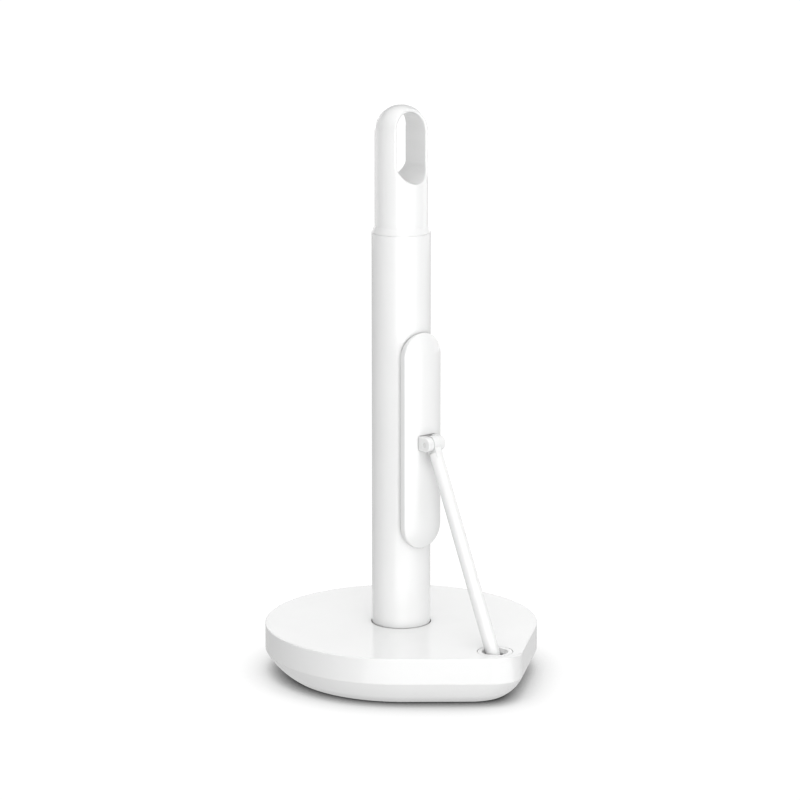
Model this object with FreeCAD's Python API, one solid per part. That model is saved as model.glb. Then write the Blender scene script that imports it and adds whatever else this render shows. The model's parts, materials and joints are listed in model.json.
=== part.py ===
import FreeCAD, Part
import math
import os

# Tension-arm paper towel holder. Millimetres, +Z up, origin on the post's axis at the
# surface that the holder stands on, +X towards the base's corner that carries the arm.

# Base outline: a big circle about the post, joined by straight tangents to a corner circle
BASE_R = 88.9
CORNER_R = 20.6
CORNER_X = 88.5
BASE_TOP = 32.0
SHELL_FOOT = 0.3
KNEE_Z = 15.3
TOP_EDGE_R = 0.7

# Foot outline: its big circle stands a little forward and its corner is rounder. The wall
# curves gently outwards between the knee and the foot.
FOOT_R = 75.2
FOOT_X = 2.5
FOOT_CORNER_R = 24.2
FOOT_CORNER_X = 68.2
FOOT_SWELL = 0.95

# Base shell walls and the parts that close it from below
WALL = 3.0
ROOF = 3.5
HOLLOW_KNEE = 17.0
OPENING_INSET = 18.0
COVER_T = 2.5
COVER_GAP = 0.2
MAT_T = 1.8
MAT_R = 62.5
MAT_CORNER_R = 5.0
MAT_CORNER_X = 84.0

# Ballast plate
BALLAST_R = 75.5
BALLAST_BOTTOM = 8.0
BALLAST_TOP = 22.0
BALLAST_NOTCH_X = 72.0
BALLAST_NOTCH_W = 32.0
STANDOFF_R = 4.2
STANDOFF_RING = 66.0

# Screws that hold the ballast to the shell, and the cover to the ballast
BOSS_R = 5.0
BOSS_RING = 58.0
BALLAST_SCREW_R = 2.0
BALLAST_SCREW_HEAD_R = 3.8
BALLAST_SCREW_HEAD_H = 2.6
COVER_SCREW_R = 1.5
COVER_SCREW_HEAD_R = 2.8
COVER_SCREW_HEAD_H = 1.6
SCREW_ANGLES = (45.0, 135.0, 225.0, 315.0)

# Post: a tube whose foot is turned down a little where it enters the base
POST_R = 19.0
POST_BORE_R = 17.8
POST_TOP = 289.9
SEAT_R = 18.8
SEAT_HOLE_R = 19.5
SEAT_BOSS_R = 23.5
POST_FOOT = 14.0
FOOT_PLUG_H = 10.0
PLUG_CLEARANCE = 0.1

# Handle: a round bar with a domed top and an oblong finger slot through it along X
SHOULDER_TOP = 294.3
HANDLE_R = 17.0
HANDLE_TOP = 371.8
SLOT_HALF = 11.8
SLOT_BOTTOM = 322.5
SLOT_TOP = 367.8
SLOT_EDGE_R = 1.1
SPIGOT_BOTTOM = 270.0
INSERT_R = 5.0
INSERT_TOP = 290.0

# Tie rod that pulls the handle, tube and base together
TIE_R = 3.0
TIE_HOLE_R = 3.3
TIE_BOTTOM = 5.0
TIE_TOP = 296.0
NUT_POCKET_R = 9.0
NUT_POCKET_TOP = 12.0
WASHER_R = 8.0
WASHER_T = 1.2
NUT_AF = 10.0
NUT_H = 5.0

# Socket bezel in the base's corner
BEZEL_X = 92.7
BEZEL_R = 11.4
BEZEL_SEAT = 30.0
BEZEL_NECK_R = 9.3
BEZEL_BOTTOM = 28.2
BEZEL_GAP = 0.15
THROAT_R = 7.0
THROAT_FLARE_R = 7.4
THROAT_TOP = 29.2
FUNNEL_R = 8.2
FUNNEL_TOP = 31.3

# Arm: a straight rod from the pivot in the base to the pin in the pad's clevis
PIVOT_X = 94.65
PIVOT_Z = 22.0
CLEVIS_X = 31.5
CLEVIS_Z = 156.5
ROD_FOOT_R = 4.45
ROD_HEAD_R = 4.25
ROD_SPIGOT_R = 3.0
ROD_SPIGOT_FOOT = 3.4
ROD_HEAD_STOP = 5.6
ROD_HEAD_CHAMFER = 1.0
TONGUE_R = 5.2
TONGUE_HALF = 2.5
TONGUE_BORE_R = 1.45
LOCK_PIN_R = 0.7
LOCK_PIN_S = 4.6

# Hub, bushes and pin at the arm's pivot
HUB_R = 5.6
HUB_HALF = 5.0
SLEEVE_R = 3.8
SLEEVE_HALF = 9.5
BUSH_R = 3.0
BUSH_BORE_R = 2.05
BUSH_START = 0.6
BUSH_FLANGE_R = 3.9
BUSH_FLANGE_T = 0.6
PIN_R = 2.0
PIN_HALF = 13.4
PIN_GROOVE_R = 1.6
CLIP_R = 3.6
CLIP_T = 0.6
CLIP_START = 12.3
CLIP_SLOT = 2.4

# Bracket that carries the pivot pin, screwed to the ballast
EAR_START = 10.2
EAR_T = 2.0
EAR_END_R = 5.6
EAR_ROOT_X = 73.0
PLATE_START_X = 54.0
PLATE_END_X = 77.0
PLATE_T = 1.8
BRACKET_SCREW_X = 60.0
BRACKET_SCREW_Y = 6.5
BRACKET_SCREW_R = 1.5
BRACKET_SCREW_HEAD_R = 2.8
BRACKET_SCREW_HEAD_H = 1.8

# Torsion spring round the hub's sleeve on the +Y side
WIRE_R = 0.6
COIL_R = 4.7
COIL_START = 5.75
COIL_PITCH = 1.25
COIL_TURNS = 2.25
SPRING_LEG = 28.0
HOOK_R = 1.2
HOOK_TIP = 0.8
LEG_HOLE_R = 0.85
NOTCH_FLOOR = 3.9
NOTCH_DEPTH = 2.2
NOTCH_LOW = 0.2
NOTCH_HIGH = 2.1

# Pad: a tall plate with round ends, its outer face coaxial with the post
PAD_BOTTOM = 85.4
PAD_TOP = 227.3
PAD_HALF = 15.2
PAD_FACE_R = 26.3
PAD_BACK_X = 19.9
PAD_EDGE_X = 17.6
PAD_RIM_R = 1.1
LINER_INSET = 1.8
LINER_T = 1.6

# Clevis block let into the pad's outer face
BLOCK_HALF_Y = 6.9
BLOCK_HALF_Z = 4.75
BLOCK_FLOOR_X = 23.0
POCKET_GAP = 0.3
POCKET_EDGE_R = 1.4
CLEVIS_SLOT_HALF = 2.7
CLEVIS_SLOT_FLOOR_X = 25.8
CLEVIS_PIN_R = 1.4
CLEVIS_PIN_HALF = 6.8
CLEVIS_SCREW_Y = 4.8
CLEVIS_SCREW_R = 0.9
CLEVIS_SCREW_HEAD_R = 1.7
CLEVIS_SCREW_HEAD_H = 0.9
CLEVIS_SCREW_TIP_X = 27.8

X = FreeCAD.Vector(1, 0, 0)
Y = FreeCAD.Vector(0, 1, 0)
Z = FreeCAD.Vector(0, 0, 1)

PIVOT = FreeCAD.Vector(PIVOT_X, 0, PIVOT_Z)
CLEVIS = FreeCAD.Vector(CLEVIS_X, 0, CLEVIS_Z)
ARM_LENGTH = (CLEVIS - PIVOT).Length
ARM_DIR = (CLEVIS - PIVOT).normalize()

COVER_TOP = SHELL_FOOT + COVER_T


def point(x, y, z):
    return FreeCAD.Vector(x, y, z)


def upright(r, z0, z1, x=0.0, y=0.0):
    """A vertical cylinder from z0 to z1."""
    return Part.makeCylinder(r, z1 - z0, point(x, y, z0), Z)


def along_y(r, y0, y1, centre):
    """A cylinder parallel to Y from y0 to y1, through a centre in the XZ plane."""
    return Part.makeCylinder(r, y1 - y0, point(centre.x, y0, centre.z), Y)


def along_x(r, x0, x1, y, z):
    """A cylinder parallel to X from x0 to x1."""
    return Part.makeCylinder(r, x1 - x0, point(x0, y, z), X)


def block(x0, x1, y0, y1, z0, z1):
    return Part.makeBox(x1 - x0, y1 - y0, z1 - z0, point(x0, y0, z0))


def lathe(profile):
    """A solid of revolution about Z from (radius, z) points."""
    corners = [point(r, 0, z) for r, z in profile]
    face = Part.Face(Part.makePolygon(corners + corners[:1]))
    return face.revolve(point(0, 0, 0), Z, 360)


def ring_points(radius, angles):
    """Points on a circle about the post's axis, at angles in degrees."""
    return [
        (radius * math.cos(math.radians(a)), radius * math.sin(math.radians(a)))
        for a in angles
    ]


def teardrop_wire(big_r, small_r, corner_x, z, big_x=0.0):
    """The base's kind of outline at a height: two circles and their straight tangents."""
    lean = math.acos((big_r - small_r) / (corner_x - big_x))

    def on(cx, r, angle):
        return point(cx + r * math.cos(angle), r * math.sin(angle), z)

    big_a = on(big_x, big_r, lean)
    big_b = on(big_x, big_r, -lean)
    small_a = on(corner_x, small_r, lean)
    small_b = on(corner_x, small_r, -lean)
    edges = [
        Part.Arc(big_a, on(big_x, big_r, math.pi), big_b).toShape(),
        Part.makeLine(big_b, small_b),
        Part.Arc(small_b, on(corner_x, small_r, 0), small_a).toShape(),
        Part.makeLine(small_a, big_a),
    ]
    return Part.Wire(edges)


def teardrop(big_r, small_r, corner_x, z0, z1):
    wire = teardrop_wire(big_r, small_r, corner_x, z0)
    return Part.Face(wire).extrude(point(0, 0, z1 - z0))


def inset_block(inset, z0, z1):
    """The base's outline moved in by inset, as a prism from z0 to z1."""
    return teardrop(BASE_R - inset, CORNER_R - inset, CORNER_X, z0, z1)


def edges_at(shape, z):
    """Edges of a shape that lie wholly at height z."""
    near = 1e-4
    return [
        e
        for e in shape.Edges
        if abs(e.BoundBox.ZMin - z) < near and abs(e.BoundBox.ZMax - z) < near
    ]


def shell_outside():
    """Upright wall from the knee to the top, on a swelling foot that draws in below it."""
    wall = inset_block(0.0, KNEE_Z, BASE_TOP)
    wall = wall.makeFillet(TOP_EDGE_R, edges_at(wall, BASE_TOP))
    sections = []
    for share in (1.0, 0.75, 0.5, 0.25, 0.0):
        swell = FOOT_SWELL * 4 * share * (1 - share)
        sections.append(
            teardrop_wire(
                BASE_R + (FOOT_R - BASE_R) * share + swell,
                CORNER_R + (FOOT_CORNER_R - CORNER_R) * share + swell,
                CORNER_X + (FOOT_CORNER_X - CORNER_X) * share,
                KNEE_Z + (SHELL_FOOT - KNEE_Z) * share - swell,
                FOOT_X * share,
            )
        )
    foot = Part.makeLoft(sections, True, False)
    return wall.fuse(foot)


def shell_inside():
    """The space inside the shell, drawn in to the opening that the cover closes."""
    room = inset_block(WALL, HOLLOW_KNEE, BASE_TOP - ROOF)
    rings = []
    for inset, z in ((OPENING_INSET, COVER_TOP), (WALL, HOLLOW_KNEE)):
        rings.append(teardrop_wire(BASE_R - inset, CORNER_R - inset, CORNER_X, z))
    slope = Part.makeLoft(rings, True, True)
    opening = inset_block(OPENING_INSET, SHELL_FOOT - 1, COVER_TOP)
    return room.fuse(slope).fuse(opening)


def stadium(half, z0, z1, x0, x1):
    """A slab along X with an upright outline that has half-round ends."""
    low = z0 + half
    high = z1 - half
    edges = [
        Part.makeLine(point(x0, -half, low), point(x0, -half, high)),
        Part.Arc(point(x0, -half, high), point(x0, 0, z1), point(x0, half, high)).toShape(),
        Part.makeLine(point(x0, half, high), point(x0, half, low)),
        Part.Arc(point(x0, half, low), point(x0, 0, z0), point(x0, -half, low)).toShape(),
    ]
    return Part.Face(Part.Wire(edges)).extrude(point(x1 - x0, 0, 0))


def screw(head_r, head_h, shank_r, length):
    """A countersunk screw along +Z with the top of its head at the origin."""
    profile = [(0, 0), (head_r, 0), (shank_r, head_h), (shank_r, length), (0, length)]
    return lathe(profile)


def button_screw(head_r, head_h, shank_r, length):
    """A button-head screw along -Z, with its head on z = 0."""
    low = head_h * 0.45
    profile = [
        (0, -length),
        (shank_r, -length),
        (shank_r, 0),
        (head_r, 0),
        (head_r, low),
        (head_r * 0.55, head_h),
        (0, head_h),
    ]
    return lathe(profile)


def moved(shape, x, y, z):
    copy = shape.copy()
    copy.translate(point(x, y, z))
    return copy


def base_shell():
    """Moulded outer shell, open underneath, with seats for the post and the bezel."""
    body = shell_outside().cut(shell_inside())
    bosses = [upright(SEAT_BOSS_R, BALLAST_TOP, BASE_TOP - 1)]
    for x, y in ring_points(BOSS_RING, SCREW_ANGLES):
        bosses.append(upright(BOSS_R, BALLAST_TOP, BASE_TOP - 1, x, y))
    body = body.multiFuse(bosses)
    holes = [
        upright(SEAT_HOLE_R, 0, BASE_TOP + 1),
        upright(BEZEL_R + BEZEL_GAP, BEZEL_SEAT, BASE_TOP + 1, BEZEL_X),
        upright(BEZEL_NECK_R + BEZEL_GAP, BALLAST_TOP, BASE_TOP, BEZEL_X),
    ]
    pilot_top = BASE_TOP - ROOF - 0.5
    for x, y in ring_points(BOSS_RING, SCREW_ANGLES):
        holes.append(upright(BALLAST_SCREW_R, 0, pilot_top, x, y))
    return body.cut(Part.makeCompound(holes))


def ballast_plate():
    """Cast plate that gives the base its weight and carries the post and the arm's bracket."""
    plate = upright(BALLAST_R, BALLAST_BOTTOM, BALLAST_TOP)
    plate = plate.cut(
        block(
            BALLAST_NOTCH_X,
            BALLAST_R + 1,
            -BALLAST_NOTCH_W / 2,
            BALLAST_NOTCH_W / 2,
            0,
            BASE_TOP,
        )
    )
    feet = []
    for x, y in ring_points(STANDOFF_RING, SCREW_ANGLES):
        feet.append(upright(STANDOFF_R, COVER_TOP, BALLAST_BOTTOM + 1, x, y))
    plate = plate.multiFuse(feet)
    holes = [
        upright(SEAT_R, POST_FOOT, BALLAST_TOP + 1),
        upright(TIE_HOLE_R, 0, POST_FOOT + 1),
        upright(NUT_POCKET_R, 0, NUT_POCKET_TOP),
        along_x(LEG_HOLE_R, PIVOT_X - SPRING_LEG - 1, BALLAST_R, spring_leg_y(), PIVOT_Z - COIL_R),
    ]
    for x, y in ring_points(BOSS_RING, SCREW_ANGLES):
        holes.append(upright(BALLAST_SCREW_R, 0, BALLAST_TOP + 1, x, y))
        head = screw(BALLAST_SCREW_HEAD_R, BALLAST_SCREW_HEAD_H, BALLAST_SCREW_R, 5)
        holes.append(moved(head, x, y, BALLAST_BOTTOM))
    for x, y in ring_points(STANDOFF_RING, SCREW_ANGLES):
        holes.append(upright(COVER_SCREW_R, 0, 11, x, y))
    for side in (-1, 1):
        y = side * BRACKET_SCREW_Y
        holes.append(upright(BRACKET_SCREW_R, 12, BALLAST_TOP + 1, BRACKET_SCREW_X, y))
    return plate.cut(Part.makeCompound(holes))


def ballast_screws():
    """Four countersunk screws from below, through the ballast into the shell's bosses."""
    one = screw(BALLAST_SCREW_HEAD_R, BALLAST_SCREW_HEAD_H, BALLAST_SCREW_R, 18)
    return [moved(one, x, y, BALLAST_BOTTOM) for x, y in ring_points(BOSS_RING, SCREW_ANGLES)]


def bottom_cover():
    """Flat cover that closes the shell, with a recess for the non-slip mat."""
    plate = inset_block(OPENING_INSET + COVER_GAP, SHELL_FOOT, COVER_TOP)
    cuts = [teardrop(MAT_R, MAT_CORNER_R, MAT_CORNER_X, 0, MAT_T)]
    for x, y in ring_points(STANDOFF_RING, SCREW_ANGLES):
        head = screw(COVER_SCREW_HEAD_R, COVER_SCREW_HEAD_H, COVER_SCREW_R, 9)
        cuts.append(moved(head, x, y, SHELL_FOOT))
    return plate.cut(Part.makeCompound(cuts))


def cover_screws():
    """Four countersunk screws that hold the cover to the ballast's feet."""
    one = screw(COVER_SCREW_HEAD_R, COVER_SCREW_HEAD_H, COVER_SCREW_R, 9)
    return [moved(one, x, y, SHELL_FOOT) for x, y in ring_points(STANDOFF_RING, SCREW_ANGLES)]


def non_slip_mat():
    """Rubber sheet that the holder stands on, let into the cover."""
    return teardrop(MAT_R - COVER_GAP, MAT_CORNER_R - COVER_GAP, MAT_CORNER_X, 0, MAT_T)


def post_tube():
    """Tube that the roll stands round; its foot is reduced to enter the base."""
    body = upright(POST_R, BASE_TOP, POST_TOP)
    body = body.fuse(upright(SEAT_R, POST_FOOT, BASE_TOP))
    return body.cut(upright(POST_BORE_R, 0, POST_TOP + 1))


def post_foot_plug():
    """Plug that centres the tube's foot on the tie rod."""
    body = upright(POST_BORE_R - PLUG_CLEARANCE, POST_FOOT, POST_FOOT + FOOT_PLUG_H)
    return body.cut(upright(TIE_HOLE_R, 0, BASE_TOP))


def tie_rod():
    """Threaded rod from the nut below the ballast up into the handle's insert."""
    chamfer = 0.5
    profile = [
        (0, TIE_BOTTOM),
        (TIE_R - chamfer, TIE_BOTTOM),
        (TIE_R, TIE_BOTTOM + chamfer),
        (TIE_R, TIE_TOP - chamfer),
        (TIE_R - chamfer, TIE_TOP),
        (0, TIE_TOP),
    ]
    return lathe(profile)


def tie_rod_washer():
    body = upright(WASHER_R, NUT_POCKET_TOP - WASHER_T, NUT_POCKET_TOP)
    return body.cut(upright(TIE_R, 0, NUT_POCKET_TOP + 1))


def tie_rod_nut():
    """Hexagonal nut under the washer, with its corners turned off."""
    top = NUT_POCKET_TOP - WASHER_T
    corner_r = NUT_AF / 2 / math.cos(math.radians(30))
    corners = [point(x, y, top - NUT_H) for x, y in ring_points(corner_r, range(0, 360, 60))]
    body = Part.Face(Part.makePolygon(corners + corners[:1])).extrude(point(0, 0, NUT_H))
    turned = lathe(
        [
            (0, top - NUT_H),
            (NUT_AF / 2, top - NUT_H),
            (corner_r, top - NUT_H + 0.6),
            (corner_r, top),
            (0, top),
        ]
    )
    return body.common(turned).cut(upright(TIE_R, 0, BASE_TOP))


def handle_loop():
    """Handle with a chamfered collar, a domed top and a finger slot with rounded mouths."""
    dome_z = HANDLE_TOP - HANDLE_R
    grip = upright(HANDLE_R, SHOULDER_TOP - 1, dome_z)
    grip = grip.fuse(Part.makeSphere(HANDLE_R, point(0, 0, dome_z)))
    grip = grip.removeSplitter()
    tunnel = stadium(SLOT_HALF, SLOT_BOTTOM, SLOT_TOP, -HANDLE_R - 5, HANDLE_R + 5)
    grip = grip.cut(tunnel)
    mouth = [e for e in grip.Edges if on_slot_wall(e)]
    if len(mouth) < 4:
        raise RuntimeError("the slot's mouth edges were not found")
    grip = grip.makeFillet(SLOT_EDGE_R, mouth)
    collar = Part.makeCone(POST_R, HANDLE_R, SHOULDER_TOP - POST_TOP, point(0, 0, POST_TOP), Z)
    spigot = upright(POST_BORE_R - PLUG_CLEARANCE, SPIGOT_BOTTOM, POST_TOP)
    body = grip.multiFuse([collar, spigot]).removeSplitter()
    holes = [
        upright(INSERT_R, SPIGOT_BOTTOM - 1, INSERT_TOP),
        upright(TIE_HOLE_R, SPIGOT_BOTTOM, TIE_TOP + 2),
    ]
    return body.cut(Part.makeCompound(holes))


def on_slot_wall(edge):
    """True for an edge of a slot's mouth: on the stadium's wall, and away from the middle."""
    low_z = SLOT_BOTTOM + SLOT_HALF
    high_z = SLOT_TOP - SLOT_HALF
    for share in (0.0, 0.25, 0.5, 0.75, 1.0):
        first, last = edge.ParameterRange
        p = edge.valueAt(first + share * (last - first))
        nearest = min(max(p.z, low_z), high_z)
        if abs(math.hypot(p.y, p.z - nearest) - SLOT_HALF) > 0.01:
            return False
    middle = edge.valueAt(sum(edge.ParameterRange) / 2)
    start = edge.valueAt(edge.ParameterRange[0])
    crosses = abs(middle.x) < 1.0 or start.x * edge.valueAt(edge.ParameterRange[1]).x < 0
    return not crosses


def handle_insert():
    """Threaded brass insert that the tie rod screws into."""
    body = upright(INSERT_R, SPIGOT_BOTTOM, INSERT_TOP)
    return body.cut(upright(TIE_R, 0, HANDLE_TOP))


def socket_bezel():
    """Round trim let into the base's top, with a funnel down to the arm's throat."""
    edge = 0.4
    body = lathe(
        [
            (THROAT_FLARE_R, BEZEL_BOTTOM),
            (BEZEL_NECK_R, BEZEL_BOTTOM),
            (BEZEL_NECK_R, BEZEL_SEAT),
            (BEZEL_R, BEZEL_SEAT),
            (BEZEL_R, BASE_TOP - edge),
            (BEZEL_R - edge, BASE_TOP),
            (FUNNEL_R + edge, BASE_TOP),
            (FUNNEL_R, BASE_TOP - edge),
            (FUNNEL_R, FUNNEL_TOP),
            (THROAT_R, THROAT_TOP),
            (THROAT_R, BEZEL_BOTTOM + edge),
        ]
    )
    return moved(body, BEZEL_X, 0, 0)


def pivot_bracket():
    """Bent bracket: a plate screwed to the ballast and two ears that hold the pin."""
    half = EAR_START + EAR_T
    body = block(PLATE_START_X, PLATE_END_X, -half, half, BALLAST_TOP, BALLAST_TOP + PLATE_T)
    for start in (-half, EAR_START):
        ear = block(EAR_ROOT_X, PIVOT_X, start, start + EAR_T, PIVOT_Z - EAR_END_R, PIVOT_Z + EAR_END_R)
        body = body.fuse(ear.fuse(along_y(EAR_END_R, start, start + EAR_T, PIVOT)))
    body = body.removeSplitter()
    holes = [along_y(PIN_R, -half - 1, half + 1, PIVOT)]
    for side in (-1, 1):
        y = side * BRACKET_SCREW_Y
        holes.append(upright(BRACKET_SCREW_R, 0, BASE_TOP, BRACKET_SCREW_X, y))
    return body.cut(Part.makeCompound(holes))


def bracket_screws():
    """Two button-head screws that hold the bracket to the ballast."""
    one = button_screw(BRACKET_SCREW_HEAD_R, BRACKET_SCREW_HEAD_H, BRACKET_SCREW_R, 10)
    top = BALLAST_TOP + PLATE_T
    return [moved(one, BRACKET_SCREW_X, side * BRACKET_SCREW_Y, top) for side in (-1, 1)]


def pivot_pin():
    """Fixed pin through the bracket's ears, grooved at both ends for its clips."""
    body = along_y(PIN_R, -PIN_HALF, PIN_HALF, PIVOT)
    grooves = []
    for start in (CLIP_START, -CLIP_START - CLIP_T):
        ring = along_y(PIN_R + 1, start, start + CLIP_T, PIVOT)
        grooves.append(ring.cut(along_y(PIN_GROOVE_R, start, start + CLIP_T, PIVOT)))
    return body.cut(Part.makeCompound(grooves))


def pin_clips():
    """Two open retaining clips, sprung into the pin's grooves."""
    clips = []
    for start in (CLIP_START, -CLIP_START - CLIP_T):
        ring = along_y(CLIP_R, start, start + CLIP_T, PIVOT)
        ring = ring.cut(along_y(PIN_GROOVE_R, start, start + CLIP_T, PIVOT))
        gap = block(
            PIVOT_X - CLIP_SLOT / 2,
            PIVOT_X + CLIP_SLOT / 2,
            start - 1,
            start + CLIP_T + 1,
            PIVOT_Z - CLIP_R - 1,
            PIVOT_Z,
        )
        clips.append(ring.cut(gap))
    return clips


def torsion_spring():
    """Close-wound spring: one end hooks into the hub's notch, the other leg into the ballast."""
    coil = Part.makeHelix(COIL_PITCH, COIL_PITCH * COIL_TURNS, COIL_R).Edges[0]
    first, last = coil.ParameterRange
    start = coil.valueAt(first)
    back = coil.tangentAt(first) * -1
    inward = back.cross(X) * -1
    hook_centre = start + inward * HOOK_R
    hook_end = hook_centre + back * HOOK_R
    hook_mid = hook_centre + (back - inward) * (HOOK_R / math.sqrt(2))
    tip = hook_end + inward * HOOK_TIP
    end = coil.valueAt(last)
    leg_end = end + coil.tangentAt(last) * SPRING_LEG
    path = Part.Wire(
        [
            Part.makeLine(tip, hook_end),
            Part.Arc(hook_end, hook_mid, start).toShape(),
            coil,
            Part.makeLine(end, leg_end),
        ]
    )
    section = Part.Wire(Part.makeCircle(WIRE_R, tip, inward))
    spring = path.makePipeShell([section], True, True)
    spring.rotate(point(0, 0, 0), X, -90)
    spring.translate(point(PIVOT_X, COIL_START, PIVOT_Z))
    return spring


def spring_leg_y():
    """How far along Y the spring's long leg lies where it enters the ballast."""
    lead = COIL_PITCH / (2 * math.pi * COIL_R)
    return COIL_START + COIL_PITCH * COIL_TURNS + lead * (PIVOT_X - BALLAST_NOTCH_X + 3)


def arm_hub():
    """Hub that turns on the pin: a block for the rod and a sleeve at each side."""
    body = along_y(HUB_R, -HUB_HALF, HUB_HALF, PIVOT)
    body = body.fuse(along_y(SLEEVE_R, -SLEEVE_HALF, SLEEVE_HALF, PIVOT))
    holes = [
        along_y(BUSH_R, BUSH_START, SLEEVE_HALF + 1, PIVOT),
        along_y(BUSH_R, -SLEEVE_HALF - 1, -BUSH_START, PIVOT),
        along_y(PIN_R + 0.3, -SLEEVE_HALF, SLEEVE_HALF, PIVOT),
        Part.makeCylinder(ROD_SPIGOT_R, HUB_R, PIVOT + ARM_DIR * ROD_SPIGOT_FOOT, ARM_DIR),
        along_y(LOCK_PIN_R, -HUB_HALF - 1, HUB_HALF + 1, PIVOT + ARM_DIR * LOCK_PIN_S),
        block(
            PIVOT_X + NOTCH_FLOOR,
            PIVOT_X + HUB_R + 1,
            HUB_HALF - NOTCH_DEPTH,
            HUB_HALF + 1,
            PIVOT_Z + NOTCH_LOW,
            PIVOT_Z + NOTCH_HIGH,
        ),
    ]
    return body.cut(Part.makeCompound(holes))


def pivot_bushes():
    """Two flanged bushes, pressed into the hub, that run on the pin."""
    bushes = []
    for side in (-1, 1):
        low, high = sorted((side * BUSH_START, side * SLEEVE_HALF))
        flange_low, flange_high = sorted((side * SLEEVE_HALF, side * (SLEEVE_HALF + BUSH_FLANGE_T)))
        bush = along_y(BUSH_R, low, high, PIVOT)
        bush = bush.fuse(along_y(BUSH_FLANGE_R, flange_low, flange_high, PIVOT))
        bushes.append(bush.cut(along_y(BUSH_BORE_R, -PIN_HALF, PIN_HALF, PIVOT)))
    return bushes


def arm_rod():
    """Straight rod: a coped foot with a spigot, and a flat round tongue at its head."""
    foot = ARM_DIR * (HUB_R * 0.6)
    length = ARM_LENGTH - ROD_HEAD_STOP - HUB_R * 0.6
    body = Part.makeCone(ROD_FOOT_R, ROD_HEAD_R, length, PIVOT + foot, ARM_DIR)
    head = foot + ARM_DIR * length
    head_edge = [e for e in body.Edges if (e.CenterOfMass - PIVOT - head).Length < 0.01]
    body = body.makeChamfer(ROD_HEAD_CHAMFER, head_edge)
    body = body.cut(along_y(HUB_R, -HUB_R * 2, HUB_R * 2, PIVOT))
    spigot = Part.makeCylinder(
        ROD_SPIGOT_R, HUB_R, PIVOT + ARM_DIR * ROD_SPIGOT_FOOT, ARM_DIR
    )
    tongue = along_y(TONGUE_R, -TONGUE_HALF, TONGUE_HALF, CLEVIS)
    neck = block(-ROD_HEAD_R + 0.3, ROD_HEAD_R - 0.3, -TONGUE_HALF, TONGUE_HALF, -ROD_HEAD_STOP - 4, 0)
    lean = math.degrees(math.atan2(ARM_DIR.x, ARM_DIR.z))
    neck.rotate(point(0, 0, 0), Y, lean)
    neck.translate(CLEVIS)
    body = body.multiFuse([spigot, tongue, neck])
    holes = [
        along_y(TONGUE_BORE_R, -ROD_FOOT_R, ROD_FOOT_R, CLEVIS),
        along_y(LOCK_PIN_R, -ROD_FOOT_R, ROD_FOOT_R, PIVOT + ARM_DIR * LOCK_PIN_S),
    ]
    return body.cut(Part.makeCompound(holes))


def rod_lock_pin():
    """Cross pin that locks the rod's spigot in the hub."""
    return along_y(LOCK_PIN_R, -HUB_HALF, HUB_HALF, PIVOT + ARM_DIR * LOCK_PIN_S)


def pad_back_cylinder(extra):
    """The round space behind the pad's hollow back, made larger by extra."""
    depth = PAD_BACK_X - PAD_EDGE_X
    radius = (PAD_HALF ** 2 + depth ** 2) / (2 * depth)
    return upright(radius + extra, PAD_BOTTOM - 5, PAD_TOP + 5, PAD_BACK_X - radius)


def liner_slab():
    low = PAD_BOTTOM + LINER_INSET
    high = PAD_TOP - LINER_INSET
    return stadium(PAD_HALF - LINER_INSET, low, high, 0, PAD_FACE_R)


def clevis_screw_places():
    return [(side * CLEVIS_SCREW_Y, CLEVIS_Z) for side in (-1, 1)]


def clevis_screw_shape():
    """A small countersunk screw along +X with its head at the back of the pad's shell."""
    length = CLEVIS_SCREW_TIP_X - screw_head_x()
    one = screw(CLEVIS_SCREW_HEAD_R, CLEVIS_SCREW_HEAD_H, CLEVIS_SCREW_R, length)
    one.rotate(point(0, 0, 0), Y, 90)
    return one


def screw_head_x():
    """The liner recess's floor, just inside the curved surface at the screws' places."""
    depth = PAD_BACK_X - PAD_EDGE_X
    radius = (PAD_HALF ** 2 + depth ** 2) / (2 * depth) + LINER_T
    near = CLEVIS_SCREW_Y - CLEVIS_SCREW_HEAD_R
    return PAD_BACK_X + LINER_T - radius + math.sqrt(radius ** 2 - near ** 2)


def pad_shell():
    """Hard outer plate of the pad, domed at both ends, with a pocket for the clevis."""
    slab = stadium(PAD_HALF, PAD_BOTTOM, PAD_TOP, 5, PAD_FACE_R + 5)
    low = PAD_BOTTOM + PAD_HALF
    high = PAD_TOP - PAD_HALF
    capsule = upright(PAD_FACE_R, low, high)
    capsule = capsule.fuse(Part.makeSphere(PAD_FACE_R, point(0, 0, low)))
    capsule = capsule.fuse(Part.makeSphere(PAD_FACE_R, point(0, 0, high)))
    body = slab.common(capsule.removeSplitter()).removeSplitter()
    rim = [e for e in body.Edges if on_pad_rim(e, low, high)]
    body = body.makeFillet(PAD_RIM_R, rim)
    body = body.cut(pad_back_cylinder(0))
    body = body.cut(liner_slab().common(pad_back_cylinder(LINER_T)))
    half_y = BLOCK_HALF_Y + POCKET_GAP
    half_z = BLOCK_HALF_Z + POCKET_GAP
    pocket = block(BLOCK_FLOOR_X, 40, -half_y, half_y, CLEVIS_Z - half_z, CLEVIS_Z + half_z)
    corners = [e for e in pocket.Edges if abs(e.tangentAt(0).x) > 0.99]
    pocket = pocket.makeFillet(POCKET_EDGE_R + POCKET_GAP, corners)
    cuts = [pocket]
    for y, z in clevis_screw_places():
        cuts.append(moved(clevis_screw_shape(), screw_head_x(), y, z))
    return body.cut(Part.makeCompound(cuts))


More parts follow.
